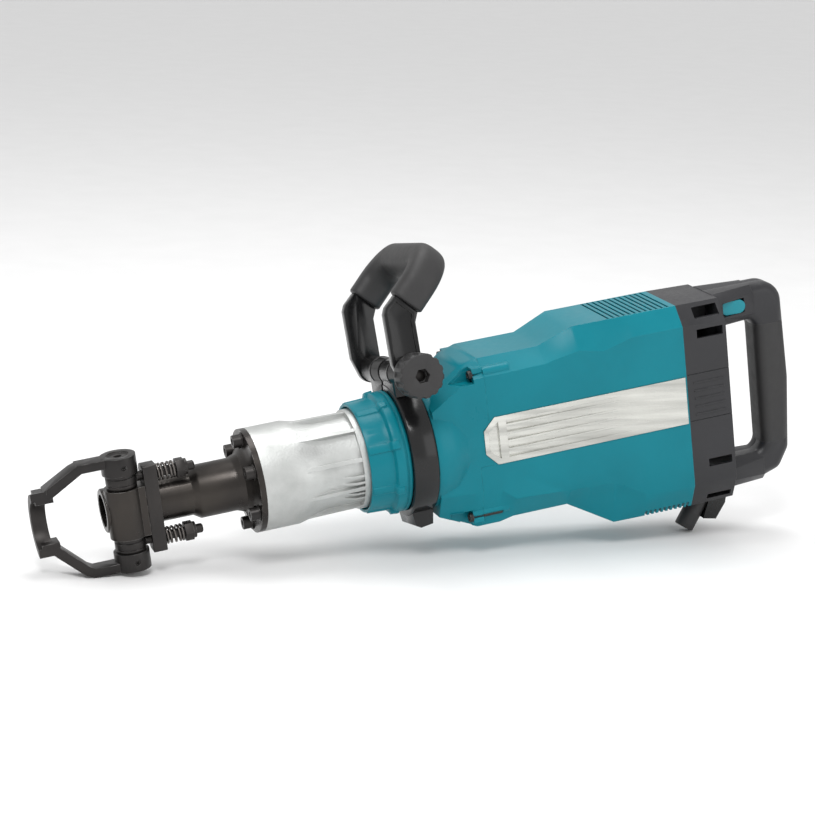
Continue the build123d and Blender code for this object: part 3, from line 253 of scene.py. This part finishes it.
def round_off(piece, width):
    """Weld, merge flat faces, round the sharp edges and smooth the rest."""
    weld = piece.modifiers.new("weld", "WELD")
    weld.merge_threshold = WELD_WITHIN
    if width:
        flat = piece.modifiers.new("flat", "DECIMATE")
        flat.decimate_type = "DISSOLVE"
        flat.angle_limit = FLAT_WITHIN
        rim = piece.modifiers.new("rim", "BEVEL")
        rim.width = width
        rim.segments = 2
        rim.limit_method = "ANGLE"
        rim.angle_limit = ROUND_OVER
        rim.miter_outer = "MITER_ARC"
    shade = piece.modifiers.new("shade", "NODES")
    shade.node_group = SMOOTH


for node, piece in frame["nodes"].items():
    slot = SLOTS[node]
    piece.data.materials.clear()
    piece.data.materials.append(MATERIALS[slot])
    plain = node in INSIDE or node in PIERCED
    round_off(piece, 0.0 if plain else EDGE_WIDTHS.get(slot, 0.0))


# ---- retainer springs, built at one length (the real ones shorten as the retainer is pulled) ---------
COIL_R, WIRE_R, TURNS, STEPS = 8.2, 1.25, 5.0, 28
COIL_START, COIL_END, COIL_Y, COIL_Z = 58.4, 77.7, -15.6, 35.1
CLOSER_ENDS = 0.055
for side, word in ((1, "upper"), (-1, "lower")):
    coil = bpy.data.curves.new("retainer_spring_" + word, "CURVE")
    coil.dimensions = "3D"
    coil.bevel_depth = WIRE_R / 1000.0
    coil.bevel_resolution = 5
    coil.use_fill_caps = True
    line = coil.splines.new("NURBS")
    count = int(TURNS * STEPS) + 1
    line.points.add(count - 1)
    for index, point in enumerate(line.points):
        share = index / (count - 1)
        angle = TURNS * tau * share
        # the end turns lie closer together than the middle ones
        eased = share - CLOSER_ENDS * sin(tau * share)
        x = COIL_START + (COIL_END - COIL_START) * eased
        spot = lay(x, COIL_Y + COIL_R * cos(angle), side * COIL_Z + COIL_R * sin(angle))
        point.co = (*spot, 1.0)
    line.order_u = 3
    line.use_endpoint_u = True
    outline = bpy.data.objects.new("coil_" + word, coil)
    bpy.context.scene.collection.objects.link(outline)
    scene_now = bpy.context.evaluated_depsgraph_get()
    shaped = bpy.data.meshes.new_from_object(outline.evaluated_get(scene_now))
    bpy.data.objects.remove(outline)
    spring = bpy.data.objects.new("retainer_spring_" + word, shaped)
    bpy.context.scene.collection.objects.link(spring)
    shaped.materials.clear()
    shaped.materials.append(MATERIALS["spring_wire"])
    shaped.shade_smooth()
    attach(spring, "hammer")
    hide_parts("retainer_springs")
    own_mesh(spring)


# ---- side handle's grip, one thick moulded bow ------------------------------------------------------
SWIVEL = radians(-11.0)
BEND, RISE = Vector((330.0, 0.0, 150.0)), radians(45.0)
OUTWARD = Vector((cos(RISE), 0.0, sin(RISE)))
SIDEWAYS = Vector((-sin(RISE), 0.0, cos(RISE)))
BOW_Y, BOW_START, BOW_TOP, BOW_TURN = 77.0, 13.0, 66.25, 32.0
GRIP_HALF, ARM_HALF, BAR_HALF, SQUARENESS, AROUND = 19.0, 13.5, 16.75, 2.8, 56
# how full the section is, just inside each end of the grip
LIP = ((0.0, 0.90), (0.5, 0.955), (1.4, 0.99), (2.4, 1.0))
STRAIGHT_FROM, STRAIGHT_LONG, STRAIGHT_STEPS, CORNER_STEPS, BAR_STEPS = 4, 17.25, 9, 18, 20


def on_bow(y, out, aside):
    """Row frame point from a place across, out along and aside of the handle's leaning plane."""
    spot = BEND + OUTWARD * out + SIDEWAYS * aside + Vector((0.0, y, 0.0))
    turned = Matrix.Rotation(SWIVEL, 3, "X") @ spot
    return lay(*turned)


def bow_stations():
    """Centre, outward direction, half thickness and fullness along the grip."""
    straight = [(-BOW_Y, BOW_START + step, pi, ARM_HALF, full) for step, full in LIP]
    straight += [(-BOW_Y, BOW_START + STRAIGHT_FROM + STRAIGHT_LONG * step / STRAIGHT_STEPS, pi,
                  ARM_HALF, 1.0) for step in range(STRAIGHT_STEPS)]
    centre = BOW_Y - BOW_TURN
    corner = []
    for step in range(CORNER_STEPS + 1):
        angle = pi - pi / 2 * step / CORNER_STEPS
        share = step / CORNER_STEPS
        ease = share * share * (3 - 2 * share)
        corner.append((-centre + BOW_TURN * cos(angle), BOW_TOP - BOW_TURN + BOW_TURN * sin(angle),
                       angle, ARM_HALF + (BAR_HALF - ARM_HALF) * ease, 1.0))
    bar = [(-centre + centre * step / BAR_STEPS, BOW_TOP, pi / 2, BAR_HALF, 1.0)
           for step in range(1, BAR_STEPS + 1)]
    half = straight + corner + bar
    return half + [(-y, out, pi - angle, thick, full) for y, out, angle, thick, full in half[-2::-1]]


def squared(value):
    """Sine or cosine pushed outward, for a rounded square section."""
    return (1 if value >= 0 else -1) * abs(value) ** (2 / SQUARENESS)


grip_mesh = bpy.data.meshes.new("side_grip_bow")
shell = bmesh.new()
rings = []
for y, out, angle, thick, full in bow_stations():
    ring = []
    for index in range(AROUND):
        turn = tau * index / AROUND
        away = thick * full * squared(sin(turn))
        aside = GRIP_HALF * full * squared(cos(turn))
        ring.append(shell.verts.new(on_bow(y + away * cos(angle), out + away * sin(angle), aside)))
    rings.append(ring)
for first, second in zip(rings, rings[1:]):
    for index in range(AROUND):
        after = (index + 1) % AROUND
        shell.faces.new((first[index], first[after], second[after], second[index]))
shell.faces.new(rings[0])
shell.faces.new(rings[-1])
bmesh.ops.recalc_face_normals(shell, faces=shell.faces)
shell.to_mesh(grip_mesh)
shell.free()
grip = bpy.data.objects.new("side_grip_bow", grip_mesh)
bpy.context.scene.collection.objects.link(grip)
grip_mesh.materials.append(MATERIALS["black_rubber"])
grip_mesh.shade_smooth()
shade_grip = grip.modifiers.new("shade", "NODES")
shade_grip.node_group = SMOOTH
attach(grip, "side_handle")
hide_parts("side_handle_grip")


# ---- walls of the four screw pockets, which close the housing behind the screw heads ----------------
HOUSING = frame["nodes"]["front_housing"]
SKIN = BVHTree.FromPolygons([HOUSING.matrix_world @ corner.co for corner in HOUSING.data.vertices],
                            [tuple(face.vertices) for face in HOUSING.data.polygons])
POCKETS = ((1, 47.0, 80.0, 414.0), (-1, 47.0, 80.0, 414.0), (1, 44.5, -78.0, 400.0),
           (-1, 44.5, -78.0, 400.0))
POCKET_LONG, POCKET_END, POCKET_IN, POCKET_UNDER, SLICES = 36.0, 12.0, 9.0, 8.0, 12
# rays start this far inside the pocket's edges, and the walls end this far into the housing
RAY_BACK, RAY_ASIDE, BITE, WALL_THICK = 15, 0.5, 0.8, 0.0008


def wall_after(x, y, z, along_y, along_z):
    """Distance in millimetres from a point inside the housing to its wall."""
    heading = HAMMER @ Vector((0.0, along_y, along_z))
    distance = SKIN.ray_cast(lay(x, y, z), heading)[3]
    return None if distance is None else distance * 1000.0


walls = bmesh.new()
for side, y, z, seam in POCKETS:
    rise = 1 if z > 0 else -1
    deep, under = y - POCKET_IN, abs(z) - POCKET_UNDER
    rows = []
    for step in range(SLICES + 1):
        x = seam - POCKET_LONG + (POCKET_LONG - POCKET_END) * step / SLICES
        upward = wall_after(x, side * (deep - RAY_ASIDE), rise * (under - RAY_BACK), 0, rise)
        outward = wall_after(x, side * (deep - RAY_BACK), rise * (under - RAY_ASIDE), side, 0)
        if upward is None or outward is None:
            continue
        top = max(under, under - RAY_BACK + upward + BITE)
        far = max(deep, deep - RAY_BACK + outward + BITE)
        rows.append([walls.verts.new(lay(x, side * a, rise * b)) for a, b in
                     ((deep, top), (deep, under), (far, under))])
    for first, second in zip(rows, rows[1:]):
        for index in (0, 1):
            walls.faces.new((first[index], first[index + 1], second[index + 1], second[index]))
    if rows:
        walls.faces.new(rows[0])
bmesh.ops.recalc_face_normals(walls, faces=walls.faces)
wall_mesh = bpy.data.meshes.new("screw_pocket_walls")
walls.to_mesh(wall_mesh)
walls.free()
pocket_walls = bpy.data.objects.new("screw_pocket_walls", wall_mesh)
bpy.context.scene.collection.objects.link(pocket_walls)
wall_mesh.materials.append(MATERIALS["teal_paint"])
thick = pocket_walls.modifiers.new("thick", "SOLIDIFY")
thick.thickness = WALL_THICK
thick.offset = 0.0
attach(pocket_walls, "hammer")


# ---- floor and light --------------------------------------------------------------------------------
low, high = cad_box
floor_mesh = bpy.data.meshes.new("floor")
FLOOR_REACH = 12.0
floor_mesh.from_pydata([(FLOOR_REACH * across, FLOOR_REACH * along, low[2]) for across, along in
                        ((-1, -1), (1, -1), (1, 1), (-1, 1))], [], [(0, 1, 2, 3)])
floor = bpy.data.objects.new("floor", floor_mesh)
bpy.context.scene.collection.objects.link(floor)
floor.data.materials.append(build_material("pale_floor", (0.80, 0.80, 0.80), (0.82, 0.82, 0.82),
                                           0.75, 0.04, bump=0.02, edge=0.0))

world = bpy.data.worlds.new("studio")
world.use_nodes = True
world.node_tree.nodes["Background"].inputs["Color"].default_value = (1.0, 1.0, 1.0, 1.0)
world.node_tree.nodes["Background"].inputs["Strength"].default_value = 0.8
bpy.context.scene.world = world
bpy.context.scene.view_settings.view_transform = "Standard"

middle = Vector([(a + b) / 2 for a, b in zip(low, high)])


def soft_light(name, spot, size, power):
    """Large square lamp that faces the hammer."""
    lamp = bpy.data.lights.new(name, "AREA")
    lamp.size = size
    lamp.energy = power
    holder = bpy.data.objects.new(name, lamp)
    holder.location = spot
    holder.rotation_euler = (middle - Vector(spot)).to_track_quat("-Z", "Y").to_euler()
    bpy.context.scene.collection.objects.link(holder)


soft_light("key", (-0.4, -1.4, 2.2), 0.9, 30.0)
soft_light("fill", (1.6, -1.8, 0.7), 1.4, 8.0)
soft_light("top", (0.5, 0.6, 2.4), 1.4, 30.0)
